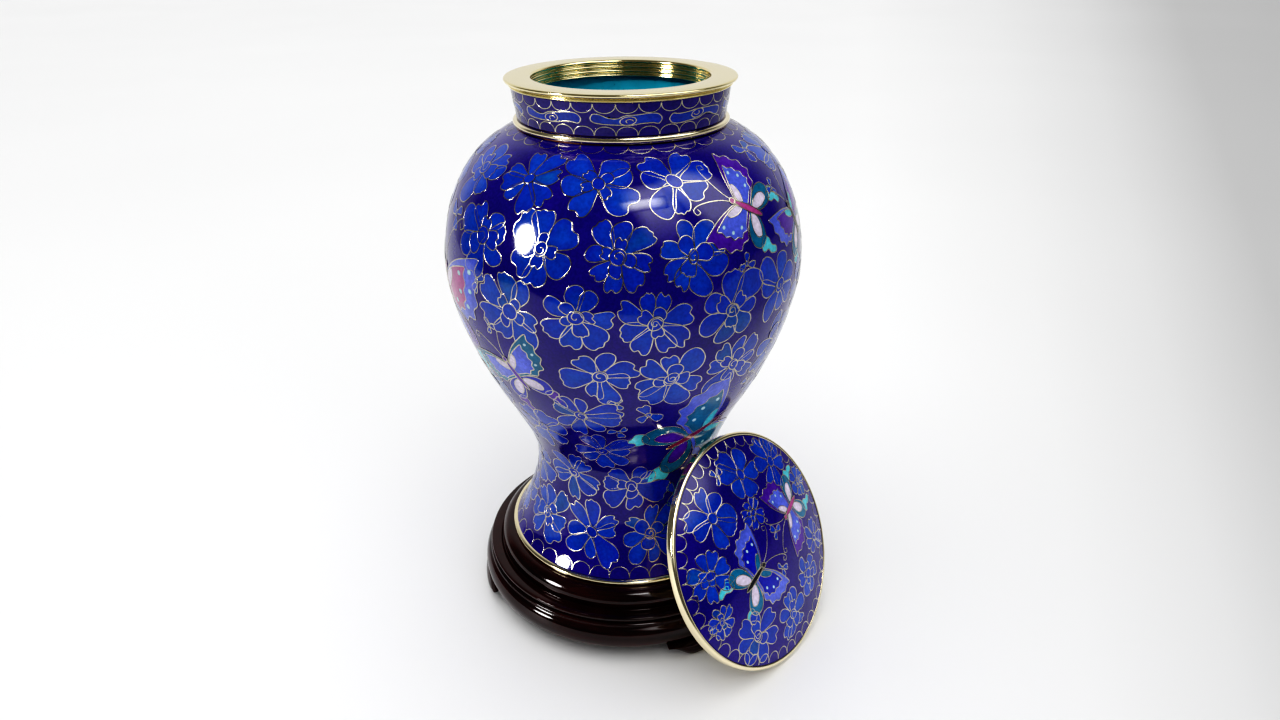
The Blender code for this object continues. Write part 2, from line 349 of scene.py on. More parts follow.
def cell_look():
    """Coloured cell glass: each cell's own tint with fine grain and a few darker specks."""
    look = Look("cell_glass", Roughness=0.08, IOR=1.46)
    tint = look.node("ShaderNodeVertexColor", layer_name="tint").outputs["Color"]
    grain = look.ramp(look.noise(700.0, 3.0), ((0.30, 0.78), (0.70, 1.12)))
    cloud = look.ramp(look.noise(120.0, 2.0), ((0.30, 0.84), (0.70, 1.10)))
    body = look.mix(1.0, look.mix(1.0, tint, grain, "MULTIPLY"), cloud, "MULTIPLY")
    look.colour(look.mix(look.specks(420.0, 0.05), body, (0.010, 0.012, 0.080)))
    look.bump(look.noise(55.0, 2.0), 0.10, 0.0006)
    return look.material


def wire_look():
    """Thin gilt copper wire, ground flush and polished with the glass."""
    look = Look("gilt_wire", Metallic=1.0, Roughness=0.26)
    fine = look.noise(500.0, 3.0)
    look.colour(look.ramp(fine, ((0.30, (0.38, 0.35, 0.28)), (0.70, (0.64, 0.60, 0.47)))))
    look.roughness(fine, 0.13, 0.24)
    look.bump(fine, 0.20, 0.00005)
    return look.material


def brass_look(name, base, low, high, face=None):
    """Polished brass with turning marks and handling haze; faces that look up can be duller."""
    look = Look(name, Metallic=1.0, Roughness=0.15)
    haze = look.noise(38.0, 4.0)
    marks = look.noise(26.0, 2.0, (1.0, 1.0, 90.0))
    dark = tuple(0.90 * c for c in base)
    look.colour(look.mix(haze, dark, base))
    wear = look.mix(0.4, haze, marks)
    if face:
        facing = look.split(look.node("ShaderNodeNewGeometry").outputs["Normal"])["Z"]
        wear = look.mix(look.ramp(facing, ((0.90, 0.0), (0.97, 1.0))), wear, (face, face, face))
    look.roughness(wear, low, high)
    look.bump(marks, 0.12, 0.00004)
    return look.material


def turquoise_look():
    """Counter enamel inside: an even turquoise, slightly orange-peeled and speckled."""
    look = Look("turquoise_glass", Roughness=0.12, IOR=1.50)
    cloud = look.ramp(look.noise(60.0, 4.0), ((0.30, (0.018, 0.340, 0.490)), (0.70, (0.030, 0.460, 0.640))))
    look.colour(look.mix(look.specks(260.0, 0.06), cloud, (0.010, 0.160, 0.220)))
    look.bump(look.noise(160.0, 3.0), 0.25, 0.0003)
    return look.material


def rosewood_look(name, dark, light, rough):
    """Nearly black rosewood under a thick gloss lacquer, its grain running round the turning."""
    look = Look(name, Roughness=rough, IOR=1.46)
    grain = look.noise(34.0, 6.0, (1.0, 1.0, 9.0), 0.62)
    pores = look.noise(260.0, 3.0, (1.0, 1.0, 0.25))
    body = look.ramp(grain, ((0.32, dark), (0.68, light)))
    look.colour(look.mix(look.ramp(pores, ((0.60, 0.0), (0.74, 0.55))), body, (0.004, 0.001, 0.001)))
    look.bump(look.noise(70.0, 3.0, (1.0, 1.0, 3.0)), 0.10, 0.0004)
    return look.material


def copper_look():
    """Bare copper under the glass, dulled by firing."""
    look = Look("fired_copper", Metallic=1.0, Roughness=0.40)
    stain = look.noise(50.0, 5.0)
    look.colour(look.ramp(stain, ((0.32, (0.30, 0.12, 0.07)), (0.66, (0.74, 0.36, 0.22)))))
    look.roughness(stain, 0.30, 0.55)
    look.bump(look.noise(320.0, 2.0), 0.20, 0.0001)
    return look.material


GROUND = ground_look()
GLASS = cell_look()
GILT = wire_look()
BRASS = brass_look("pale_brass", (0.93, 0.83, 0.57), 0.08, 0.17)
RIM_BRASS = brass_look("rim_brass", (0.93, 0.82, 0.47), 0.09, 0.16, face=2.6)
BORE_BRASS = brass_look("threaded_brass", (0.80, 0.66, 0.34), 0.14, 0.26)
TURQUOISE = turquoise_look()
ROSEWOOD = rosewood_look("lacquered_rosewood", (0.0055, 0.0014, 0.0013), (0.0340, 0.0070, 0.0060), 0.09)
PANEL_WOOD = rosewood_look("panel_rosewood", (0.020, 0.006, 0.004), (0.055, 0.020, 0.012), 0.38)
COPPER_LOOK = copper_look()


# ---- meshes

def place_piece(name, mesh, look, body, replaced=()):
    """One piece, with its material, the body it rides on and the CAD nodes it stands for."""
    piece = bpy.data.objects.new(name, mesh)
    show(piece)
    mesh.materials.append(look)
    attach(piece, body)
    if replaced:
        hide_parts(*replaced)


def solid(name, points, faces, crisp):
    """A smooth-shaded mesh whose edges stay crisp above an angle in degrees."""
    mesh = bpy.data.meshes.new(name)
    mesh.from_pydata(points.tolist(), [], faces)
    mesh.validate()
    mesh.update()
    mesh.shade_smooth()
    mesh.set_sharp_from_angle(angle=math.radians(crisp))
    return mesh


def turned(name, outline, look, body, replaced=(), place=VASE_PLACE):
    """A piece turned from an outline of (radius, height): down its outer side, up its inner side."""
    count = len(outline)
    angle = np.arange(TURN_STEPS) * math.tau / TURN_STEPS
    r, z = np.array(outline, float).T
    grid = np.stack((np.outer(np.cos(angle), r), np.outer(np.sin(angle), r),
                     np.tile(z, (TURN_STEPS, 1))), axis=2)
    flat, _ = to_world(grid.reshape(-1, 3), grid.reshape(-1, 3), place)
    faces = []
    for i in range(TURN_STEPS):
        a, b = i * count, (i + 1) % TURN_STEPS * count
        faces += [(a + k, a + (k + 1) % count, b + (k + 1) % count, b + k) for k in range(count)]
    place_piece(name, solid(name, flat, faces, 48.0), look, body, replaced)


class Pattern:
    """Glass cells and wires of one stretch of pattern, gathered into two meshes."""

    def __init__(self, name, ground, body):
        self.name = name
        self.ground = ground
        self.body = body
        self.parts = {"cells": [], "wires": []}

    def cell(self, spot, outline, inner, rim, level):
        """A cell of glass: rings from its middle to its outline, close enough to follow the curve."""
        centre = outline.mean(axis=0)
        count = len(outline)
        spokes = outline - centre
        rings = max(3, math.ceil(np.linalg.norm(spokes, axis=1).max() / RING_STEP))
        ahead = np.roll(spokes, -1, axis=0)
        if (spokes[:, 0] * ahead[:, 1] - spokes[:, 1] * ahead[:, 0]).sum() < 0.0:
            outline = outline[::-1]
        shares = np.arange(1, rings + 1) / rings
        plane = np.vstack((centre[None], *(centre + (outline - centre) * share for share in shares)))
        faces = [(0, 1 + k, 1 + (k + 1) % count) for k in range(count)]
        for ring in range(rings - 1):
            a, b = 1 + ring * count, 1 + (ring + 1) * count
            faces += [(a + k, b + k, b + (k + 1) % count, a + (k + 1) % count) for k in range(count)]
        blend = np.concatenate(((0.0,), np.repeat(shares ** 2, count)))[:, None]
        tint = np.array(inner) * (1.0 - blend) + np.array(rim) * blend
        low, high = outline.min(axis=0), outline.max(axis=0)
        self.gather("cells", spot, plane, faces, level * LAYER + LOWEST,
                    (plane - low) / (high - low).max(), tint=tint)

    def wire(self, spot, path, level, closed=True, wide=WIRE):
        """A flush wire: a low ribbon of four columns, its edges rolled over a little."""
        run = np.vstack((path, path[:1])) if closed else np.array(path, float)
        if closed:
            ahead, behind = np.roll(path, -1, axis=0), np.roll(path, 1, axis=0)
            way = np.vstack((ahead - behind, (ahead - behind)[:1]))
        else:
            way = np.gradient(run, axis=0)
        way /= np.maximum(np.linalg.norm(way, axis=1), 1e-9)[:, None]
        side = np.stack((-way[:, 1], way[:, 0]), axis=1)
        shares = np.array((-0.5, -0.3, 0.3, 0.5))
        plane = (run[:, None] + side[:, None] * shares[None, :, None] * wide).reshape(-1, 2)
        base = level * LAYER + LOWEST
        lift = np.tile(base + np.array((-0.01, 0.028, 0.028, -0.01)), len(run))
        faces = []
        for k in range(len(run) - 1):
            faces += [(4 * k + c + 1, 4 * k + c, 4 * k + c + 4, 4 * k + c + 5) for c in range(3)]
        along = np.repeat(np.linspace(0.0, 1.0, len(run)), 4)
        across = np.tile((0.0, 0.33, 0.67, 1.0), len(run))
        self.gather("wires", spot, plane, faces, lift, np.stack((along, across), axis=1),
                    roll=np.tile((-0.55, -0.14, 0.14, 0.55), len(run)))

    def gather(self, kind, spot, plane, faces, lift, tile, tint=None, roll=None):
        """Lay a part's plane points on the ground and keep them for the mesh."""
        points, normals = self.ground.lay(spot, plane, lift)
        if roll is not None:
            rows = points.reshape(-1, 4, 3)
            across = rows[:, 3] - rows[:, 0]
            across /= np.maximum(np.linalg.norm(across, axis=1), 1e-12)[:, None]
            normals = normals + np.repeat(across, 4, axis=0) * roll[:, None]
            normals /= np.linalg.norm(normals, axis=1)[:, None]
        self.parts[kind].append((points, normals, faces, tile, tint))

    def add(self, motif, spot, turn=0.0, size=1.0):
        """Lay a motif's cells and wires, turned and scaled, at a spot."""
        for kind, points, level, *rest in motif:
            laid = spun(points, turn, size)
            if kind == "cell":
                self.cell(spot, laid, *rest, level)
            elif kind == "loop":
                self.wire(spot, laid, level)
            else:
                self.wire(spot, laid, level, closed=False)

    def finish(self):
        """The two pieces."""
        for kind, look, slot in (("cells", GLASS, "cobalt_enamel"), ("wires", GILT, "brass")):
            if self.parts[kind]:
                self.build(kind, look)

    def build(self, kind, look):
        """One mesh from the gathered parts, each part with its own square of the UV map."""
        parts = self.parts[kind]
        across = math.ceil(math.sqrt(len(parts)))
        points, normals, faces, squares, tints = [], [], [], [], []
        base = 0
        for number, (spots, ways, corners, tile, tint) in enumerate(parts):
            corner = np.array((number % across, number // across))
            squares.append((corner + 0.06 + 0.88 * np.clip(tile, 0.0, 1.0)) / across)
            points.append(spots)
            normals.append(ways)
            faces += [tuple(base + c for c in face) for face in corners]
            base += len(spots)
            if tint is not None:
                tints.append(tint)
        mesh = bpy.data.meshes.new(self.name + "_" + kind)
        mesh.from_pydata(np.vstack(points).tolist(), [], faces)
        mesh.update()
        corner_points = np.zeros(len(mesh.loops), np.int32)
        mesh.loops.foreach_get("vertex_index", corner_points)
        layer = mesh.uv_layers.new(name="OFBake")
        layer.data.foreach_set("uv", np.vstack(squares)[corner_points].astype(np.float32).ravel())
        if tints:
            shade = mesh.color_attributes.new("tint", "FLOAT_COLOR", "POINT")
            rgba = np.hstack((np.vstack(tints), np.ones((base, 1))))
            shade.data.foreach_set("color", rgba.astype(np.float32).ravel())
        mesh.shade_smooth()
        mesh.normals_split_custom_set_from_vertices(np.vstack(normals).tolist())
        place_piece(self.name + "_" + kind, mesh, look, self.body)


# ---- flowers

ROYAL = (0.0048, 0.035, 0.42)
AZURE = (0.0066, 0.083, 0.55)
VIOLET = (0.0150, 0.016, 0.43)
TEAL = (0.0060, 0.120, 0.30)


def blend_of(a, b, share):
    """A colour between two colours."""
    return tuple(x * (1.0 - share) + y * share for x, y in zip(a, b))


def petal(rng, long, wide, root, tip, bend):
    """A club-shaped petal along +y, from its root to a round, heart-shaped or three-lobed tip."""
    tips = {"round": ((0.36, 0.90), (0.0, 1.0)),
            "heart": ((0.46, 0.88), (0.24, 1.0), (0.0, 0.91)),
            "three": ((0.47, 0.83), (0.34, 0.95), (0.17, 0.95), (0.0, 1.0))}
    right = [(0.13, 0.0), (0.27, 0.27), (0.47, 0.63)] + list(tips[tip])
    left = [(-x, y) for x, y in right[-2::-1]]
    shape = []
    for x, y in right + left:
        jitter_x, jitter_y = rng.uniform(-0.024, 0.024), rng.uniform(-0.014, 0.014)
        reach = root + (long - root) * (y + (jitter_y if y > 0.5 else 0.0))
        lean = bend * long * (y - 0.2) ** 2 if y > 0.2 else 0.0
        shape.append(((x + jitter_x * min(1.0, 2.0 * y)) * wide + lean, reach))
    return smooth(shape, 5)


def petal_tints(rng, tone):
    """The middle and rim colours of a petal."""
    middle_tint = blend_of(ROYAL, AZURE, max(0.0, min(1.0, tone + rng.uniform(-0.30, 0.30))))
    if rng.random() < 0.05:
        middle_tint = blend_of(middle_tint, TEAL, 0.5)
    return middle_tint, blend_of(middle_tint, VIOLET, rng.uniform(0.25, 0.65))


def ring_of_petals(rng, count, reach, start, tone, level, root, width, sweep=math.tau):
    """Petals round a centre, each as long as the room in its direction."""
    made = []
    for i in range(count):
        turn = start + (i + rng.uniform(-0.20, 0.20)) * sweep / count
        long = reach(turn) * rng.uniform(0.84, 1.04)
        wide = width * long * 7.0 / count * sweep / math.tau * rng.uniform(0.82, 1.14)
        tip = rng.choice(("heart", "heart", "three", "round", "round"))
        outline = spun(petal(rng, long, min(wide, 0.86 * long), root, tip, rng.uniform(-0.30, 0.30)),
                       turn - math.pi / 2.0)
        layer = level + (2 if i == count - 1 and count % 2 else i % 2)
        made += [("cell", outline, layer, *petal_tints(rng, tone)), ("loop", outline, layer + 0.3)]
    return made


def flower(rng, reach, size):
    """A many-petalled flower seen open, double or from one side, with an oval or coiled centre."""
    tone = rng.uniform(0.15, 0.85)
    start = rng.uniform(0.0, math.tau)
    kind = rng.choice(("open", "open", "double", "double", "side"))
    count = rng.choice((6, 7, 7, 8, 8))
    short = 0.50 * size

    def inner_reach(way):
        """Inner petals are about half as long as the outer ones."""
        return short * rng.uniform(0.90, 1.20)

    made = ring_of_petals(rng, count, reach, start, tone, 0, 0.06 * size, 0.64)
    if kind == "double":
        made += ring_of_petals(rng, rng.choice((3, 4)), inner_reach, start + 0.4, tone - 0.15, 3,
                               -0.06 * size, 0.40)
    elif kind == "side":
        made += ring_of_petals(rng, 3, inner_reach, start + 0.9, tone + 0.2, 3, -0.20 * size, 0.66, 2.6)
    wide = size * rng.uniform(0.17, 0.23)
    centre = oval(wide, wide * rng.uniform(0.66, 1.0), 24, turn=rng.uniform(0.0, math.pi))
    made += [("cell", centre, 6, *petal_tints(rng, tone - 0.3)), ("loop", centre, 6.3)]
    if rng.random() < 0.5:
        coil = [(wide * (0.85 - 0.10 * k) * math.cos(start + 0.8 * k),
                 wide * (0.85 - 0.10 * k) * math.sin(start + 0.8 * k)) for k in range(8)]
        made.append(("line", smooth(coil, 4, closed=False), 6.6))
    return made


def bud(rng, size):
    """A small three-petalled flower for a gap."""
    tone = rng.uniform(0.2, 0.8)
    made = ring_of_petals(rng, 3, lambda way: size * rng.uniform(0.85, 1.0), rng.uniform(0.0, math.tau),
                          tone, 0, 0.05 * size, 0.30)
    centre = oval(0.17 * size, 0.17 * size, 16)
    return made + [("cell", centre, 3, *petal_tints(rng, tone)), ("loop", centre, 3.3)]


# ---- butterflies

# outlines of the right half, head towards +y, in mm
WINGS = {
    "fore": ((1.2, 5.6), (5.0, 9.0), (10.0, 12.0), (15.4, 14.0), (21.4, 15.4), (20.6, 12.4),
             (22.0, 9.4), (20.6, 6.6), (21.4, 3.4), (19.0, 1.2), (18.4, -1.6), (15.2, -1.8),
             (12.8, -3.8), (9.6, -2.8), (5.0, -2.4), (1.4, -1.4)),
    "sliver": ((1.3, 5.0), (3.6, 7.2), (6.4, 8.8), (7.4, 7.4), (5.6, 4.6), (3.2, 2.8), (1.4, 2.4)),
    "hind": ((1.2, -1.6), (6.0, -2.6), (11.0, -4.4), (14.0, -8.2), (13.4, -12.4), (10.0, -14.2), (6.0, -12.8),
             (1.4, -7.6)),
    "lobe": ((1.4, -3.6), (4.8, -3.8), (8.4, -6.0), (9.8, -9.2), (8.2, -11.2), (4.6, -9.6), (1.8, -6.6)),
    "tail": ((8.4, -12.6), (12.8, -12.4), (14.6, -14.8), (12.6, -17.0), (13.2, -19.6),
             (11.6, -23.0), (9.4, -22.0), (9.8, -18.6), (8.0, -16.0)),
}
WING_ROOT = (0.8, 2.6)
FEELER = ((0.5, 8.0), (1.8, 12.6), (4.6, 17.6), (8.2, 21.8), (11.0, 23.0), (12.2, 21.2), (10.6, 20.2),
          (9.8, 21.6))
OUTER_DOTS = ((18.2, 11.2), (18.4, 6.2), (16.2, 1.4))
MIDDLE_DOTS = ((12.6, 9.4), (13.0, 4.6), (9.4, 1.0))

PERIWINKLE = (0.110, 0.150, 0.72)
DEEP = (0.010, 0.016, 0.42)
TEAL_WING = (0.010, 0.150, 0.29)
CYAN = (0.090, 0.520, 0.64)
PALE = (0.72, 0.64, 0.86)
PINK = (0.42, 0.075, 0.27)
PURPLE = (0.090, 0.020, 0.34)
MAROON = (0.200, 0.020, 0.075)
INK = (0.004, 0.003, 0.012)
DOT = ((0.62, 0.86, 0.95), (0.40, 0.70, 0.86))

# outer band, middle band, sliver by the head, hind wing, its lobe, tail, body, and which band is dotted
LIVERIES = {
    "teal": (TEAL_WING, PERIWINKLE, PALE, DEEP, PALE, PURPLE, PURPLE, OUTER_DOTS),
    "rose": (PURPLE, PERIWINKLE, PALE, TEAL_WING, PALE, CYAN, PINK, MIDDLE_DOTS),
    "plum": (PERIWINKLE, PINK, PALE, PURPLE, PERIWINKLE, CYAN, PINK, OUTER_DOTS + MIDDLE_DOTS),
    "sea": (PERIWINKLE, PURPLE, CYAN, TEAL_WING, PALE, CYAN, INK, ()),
    "sky": (PERIWINKLE, TEAL_WING, CYAN, TEAL_WING, PURPLE, CYAN, MAROON, MIDDLE_DOTS),
    "night": (PERIWINKLE, DEEP, TEAL_WING, TEAL_WING, PALE, CYAN, INK, MIDDLE_DOTS),
}


def wing_zone(outline, share):
    """The wing's outline drawn in towards its root."""
    root = np.array(WING_ROOT)
    return root + (outline - root) * share


def butterfly(livery):
    """An open butterfly with its head up, about 43 mm across."""
    outer, mid, sliver, hind, lobe, tail, body, dots = LIVERIES[livery]
    made = []

    def cell(shape, level, colour, light=1.25):
        """A cell with its wire, its middle a little lighter than its rim."""
        made.append(("cell", shape, level, tuple(min(1.0, light * c) for c in colour), colour))
        made.append(("loop", shape, level + 0.3))

    for side in (1.0, -1.0):
        flip = np.array((side, 1.0))
        fore = smooth(WINGS["fore"], 6)
        cell(smooth(WINGS["tail"], 5) * flip, 0, tail)
        cell(smooth(WINGS["hind"], 6) * flip, 1, hind)
        cell(smooth(WINGS["lobe"], 5) * flip, 2, lobe)
        cell(fore * flip, 3, outer)
        cell(wing_zone(fore, 0.72) * flip, 4, mid)
        cell(smooth(WINGS["sliver"], 5) * flip, 5, sliver)
        for x, y in dots:
            made.append(("cell", oval(0.85, 0.65, 10, (x * side, y)), 5.4, *DOT))
        made.append(("line", smooth(FEELER, 5, closed=False) * flip, 0.3))
    cell(oval(1.4, 8.2, 26, (0.0, -1.6)), 6, body)
    cell(oval(1.25, 1.4, 16, (0.0, 7.4)), 7, body)
    return made


# ---- the body's pattern

def scallops(pattern, count, up, tall, radius, inverted=False):
    """A ring of small arches standing on a line round a turned surface, or hanging from it."""
    wide = math.tau * radius / count
    sweep = np.linspace(0.0, math.pi, 15)
    arch = np.stack((-0.49 * wide * np.cos(sweep), tall * np.sin(sweep) ** 0.85), axis=1)
    if inverted:
        arch = arch * np.array((1.0, -1.0))
    for i in range(count):
        pattern.wire((i * 360.0 / count, up), arch, 0.3, closed=False, wide=ARCH_WIRE)


# where each butterfly is: degrees round (-90 faces the viewer), mm above the foot, head's turn, size, livery
BODY_BUTTERFLIES = (
    (-163.0, 147.0, 0.0, 1.75, "plum"), (-128.5, 122.0, 28.0, 1.06, "teal"),
    (-48.0, 195.0, 58.0, 1.02, "rose"), (-21.0, 182.0, 24.0, 1.00, "sea"),
    (-57.0, 82.0, -60.0, 1.65, "sky"), (10.0, 140.0, 150.0, 1.00, "teal"),
    (44.0, 176.0, 34.0, 1.00, "rose"), (74.0, 122.0, -35.0, 1.60, "plum"),
    (92.0, 192.0, 80.0, 1.00, "sea"), (128.0, 150.0, -60.0, 1.05, "night"),
    (160.0, 104.0, 40.0, 1.00, "rose"), (100.0, 60.0, 95.0, 0.90, "teal"),
)
BUTTERFLY_REACH = 18.5
FLOWER_PITCH = 31.0
LONGEST_PETAL = 21.0
SHORTEST_PETAL = 8.5
BUD_TRIES = 1500
BUD_ROOM = (4.6, 8.5)       # smallest and largest bud
FLOWER_ROOM = 13.8          # from a flower's middle to a bud's edge


def on_body(spots):
    """World places of (angle, distance up) spots, in mm."""
    return np.vstack([BODY.lay(spot, np.zeros((1, 2)), 0.0)[0] for spot in spots]) / MM


def directions(spot):
    """The world's directions to the right and up the side at a spot on the body."""
    turn = math.radians(spot[0])
    ends = BODY.lay(spot, np.array(((0.0, 1.0), (0.0, -1.0))), 0.0)[0] / MM
    return np.array((-math.sin(turn), math.cos(turn), 0.0)), (ends[0] - ends[1]) / 2.0


def spread_flowers(rng, low, high, fixed, reaches):
    """Places for flowers in staggered rows, pushed apart until they share the room evenly."""
    rows = round((high - low) / (0.88 * FLOWER_PITCH))
    spots = []
    for row in range(rows + 1):
        up = low + (high - low) * row / rows
        count = max(5, round(math.tau * BODY.radius(up) / FLOWER_PITCH))
        start = rng.uniform(0.0, 360.0)
        spots += [[start + i * 360.0 / count, up] for i in range(count)]
    anchors = on_body(fixed)
    held = np.array(reaches)
    keep = []
    for spot, place in zip(spots, on_body(spots)):
        if (np.linalg.norm(anchors - place, axis=1) > held + 0.22 * FLOWER_PITCH).all():
            keep.append(spot)
    spots = np.array(keep)
    for _ in range(50):
        places = on_body(spots)
        for i, (angle, up) in enumerate(spots):
            right, climb = directions((angle, up))
            push = np.zeros(3)
            for others, rest in ((places, FLOWER_PITCH), (anchors, held + 0.5 * FLOWER_PITCH)):
                gap = places[i] - others
                far = np.linalg.norm(gap, axis=1)
                near = (far > 1e-6) & (far < rest)
                share = ((rest - far) / np.maximum(far, 1e-6))[near]
                push += 0.22 * (gap[near] * share[:, None]).sum(axis=0)
            spots[i, 0] += math.degrees(push @ right / BODY.radius(up))
            spots[i, 1] = min(max(up + push @ climb, low), high)
    return spots


def room_round(spot, neighbours, limits):
    """A function of direction: how far a petal may reach."""
    up = spot[1]
    here = on_body([spot])[0]
    right, climb = directions(spot)
    walls = []
    for place, held in neighbours:
        gap = place - here
        far = np.linalg.norm(gap)
        if 1e-6 < far < 2.0 * FLOWER_PITCH:
            reach = far / 2.0 if held is None else far - held
            walls.append((math.atan2(gap @ climb, gap @ right), max(reach, 5.0)))
    walls += [(-math.pi / 2.0, up - limits[0]), (math.pi / 2.0, limits[1] - up)]

    def reach(way):
        """Room in one direction, in mm."""
        room = LONGEST_PETAL
        for side, far in walls:
            facing = math.cos(way - side)
            if facing > 0.25:
                room = min(room, far / facing)
        return max(room - FLOWER_GAP, SHORTEST_PETAL)

    return reach


def body_pattern():
    """Flowers and butterflies over the whole body, and a ring of arches at each end."""
    rng = random.Random(7)
    top, bottom = BODY.length, 0.0
    fixed = [(angle, BODY.at_height(z)) for angle, z, *_ in BODY_BUTTERFLIES]
    reaches = [BUTTERFLY_REACH * size for *_, size, _ in BODY_BUTTERFLIES]
    limits = (bottom + 7.5, top - 7.0)
    spots = spread_flowers(rng, limits[0] + 15.0, limits[1] - 14.0, fixed, reaches)
    places = on_body(spots)
    anchors = on_body(fixed)
    bands = 6
    patterns = [Pattern(f"body_flowers_{k + 1}", BODY, "vase") for k in range(bands)]
    tall = (limits[1] - limits[0]) / bands

    def band_at(spot):
        """The band of pattern that a spot is in."""
        return patterns[min(bands - 1, int((spot[1] - limits[0]) / tall))]

    for i, spot in enumerate(spots):
        neighbours = [(p, None) for k, p in enumerate(places) if k != i]
        neighbours += list(zip(anchors, reaches))
        reach = room_round(spot, neighbours, limits)
        size = sum(reach(way) for way in np.linspace(0.0, math.tau, 12)) / 12.0
        band_at(spot).add(flower(rng, reach, size), tuple(spot))
    gaps = []
    for _ in range(BUD_TRIES):
        spot = (rng.uniform(-180.0, 180.0), rng.uniform(limits[0] + 6.0, limits[1] - 6.0))
        place = on_body([spot])[0]
        near = min(np.linalg.norm(places - place, axis=1).min() - FLOWER_ROOM,
                   (np.linalg.norm(anchors - place, axis=1) - 0.93 * np.array(reaches)).min())
        if near > BUD_ROOM[0]:
            gaps.append((near, spot, place))
    gaps.sort(key=lambda gap: -gap[0])
    taken = []
    for near, spot, place in gaps:
        if all(np.linalg.norm(place - other) > near + far for far, other in taken):
            taken.append((near, place))
            band_at(spot).add(bud(rng, min(near, BUD_ROOM[1])), spot)
    for pattern in patterns:
        pattern.finish()
    flight = Pattern("body_butterflies", BODY, "vase")
    for (angle, z, turn, size, livery), spot in zip(BODY_BUTTERFLIES, fixed):
        flight.add(butterfly(livery), spot, math.radians(turn), size)
    flight.finish()
    arches = Pattern("body_arches", BODY, "vase")
    scallops(arches, 38, bottom + 0.5, 5.6, BODY.radius(0.5))
    scallops(arches, 31, top - 0.6, 4.6, BODY.radius(top - 3.0), inverted=True)
    arches.finish()


def neck_pattern():
    """Two-lobed leaf scrolls between hanging and standing arches."""
    rng = random.Random(11)
    neck = Pattern("neck", NECK, "vase")
    top = NECK.length
    scallops(neck, 33, 0.35, 3.7, NECK.radius(1.0))
    scallops(neck, 33, top - 0.35, 3.7, NECK.radius(top - 2.0), inverted=True)
    scroll = ((-14.6, 0.6), (-13.4, 2.4), (-10.6, 2.2), (-7.4, 0.9), (-3.6, 0.6), (0.0, 1.9), (4.6, 2.1),
              (9.4, 2.5), (13.4, 2.2), (15.2, 0.2), (13.9, -1.9), (11.2, -1.5), (6.6, -1.6), (1.6, -2.2),
              (-4.0, -2.0), (-9.6, -1.7), (-13.4, -1.0))
    count = 9
    for i in range(count):
        outline = smooth(scroll, 4)
        knot = oval(3.4, 1.75, 22, (1.0, -0.35), 0.12)
        eye = oval(1.5, 0.8, 14, (1.6, -0.5))
        tint, rim = petal_tints(rng, rng.uniform(0.3, 0.8))
        motif = [("cell", outline, 0, tint, rim), ("loop", outline, 0.3),
                 ("cell", knot, 1, blend_of(tint, DEEP, 0.5), blend_of(rim, DEEP, 0.6)),
                 ("loop", knot, 1.3), ("line", eye[:10], 1.6)]
        flip = math.pi if i % 2 else 0.0
        neck.add(motif, (-90.0 + (i + 0.05) * 360.0 / count, 0.5 * top), flip + rng.uniform(-0.03, 0.03))
    neck.finish()


# ---- the lid's pattern

# right and up the slope from the middle, head's turn, size, livery
LID_BUTTERFLIES = ((-15.5, -7.5, -71.0, 1.0, "night"), (28.0, 7.3, 105.0, 0.95, "rose"))
# right and up the slope from the middle, size
LID_FLOWERS = ((4.5, 38.4, 15.2), (31.0, 33.0, 14.4), (-25.2, 29.6, 15.0), (-0.5, 19.6, 9.2),
               (-40.2, 7.5, 13.2), (-43.5, -15.0, 9.0), (-26.0, -34.0, 15.2), (2.5, -39.6, 14.2),
               (24.5, -29.0, 12.0), (41.5, -17.0, 10.5), (47.0, 13.5, 9.0))
LID_BUDS = ((4.0, -14.0, 5.0), (9.5, 4.0, 5.0), (-10.0, 44.5, 5.0))


def lid_pattern():
    """Two butterflies among flowers, ringed by arches that hang in from the edge."""
    rng = random.Random(23)
    lid = Pattern("lid_flowers", DOME, "lid")
    for x, y, size in LID_FLOWERS:
        lid.add(flower(rng, lambda way, s=size: s * rng.uniform(0.88, 1.08), size), (x, y))
    for x, y, size in LID_BUDS:
        lid.add(bud(rng, size), (x, y))
    lid.finish()
    flight = Pattern("lid_butterflies", DOME, "lid")
    for x, y, turn, size, livery in LID_BUTTERFLIES:
        flight.add(butterfly(livery), (x, y), math.radians(turn), size)
    flight.finish()
    arches = Pattern("lid_arches", DOME, "lid")
    count = 46
    edge = LID_FACE_R - 0.8
    sweep = np.linspace(0.0, math.pi, 17)
    for i in range(count):
        angle = (i - 0.49 * np.cos(sweep)) * math.tau / count
        out = edge - 4.9 * np.sin(sweep) ** 0.8
        arches.wire((0.0, 0.0), np.stack((out * np.cos(angle), out * np.sin(angle)), axis=1), 0.3,
                    closed=False, wide=LID_ARCH_WIRE)
    arches.finish()


# ---- turned pieces of the vase

def wall(ground, depth, low_z=0.0, high_r=0.0):
    """A turned surface's side at a depth, from a height up to where it closes in on a radius."""
    r = ground.r - depth * ground.slope[:, 1]
    z = ground.z + depth * ground.slope[:, 0]
    return [(a, b) for a, b in zip(r.tolist()[::3], z.tolist()[::3])
            if b > low_z and (b < SHOULDER_Z or a > high_r)]


def threads(radius, deep, start, count, way=1.0):
    """Corners of a few thread grooves, one after the other up or down a side."""
    made = []
    for i in range(count):
        base = start + way * i * THREAD_PITCH
        made += [(radius, base), (radius + deep, base + way * 0.35), (radius + deep, base + way * 0.95),
                 (radius, base + way * 1.3)]
    return made



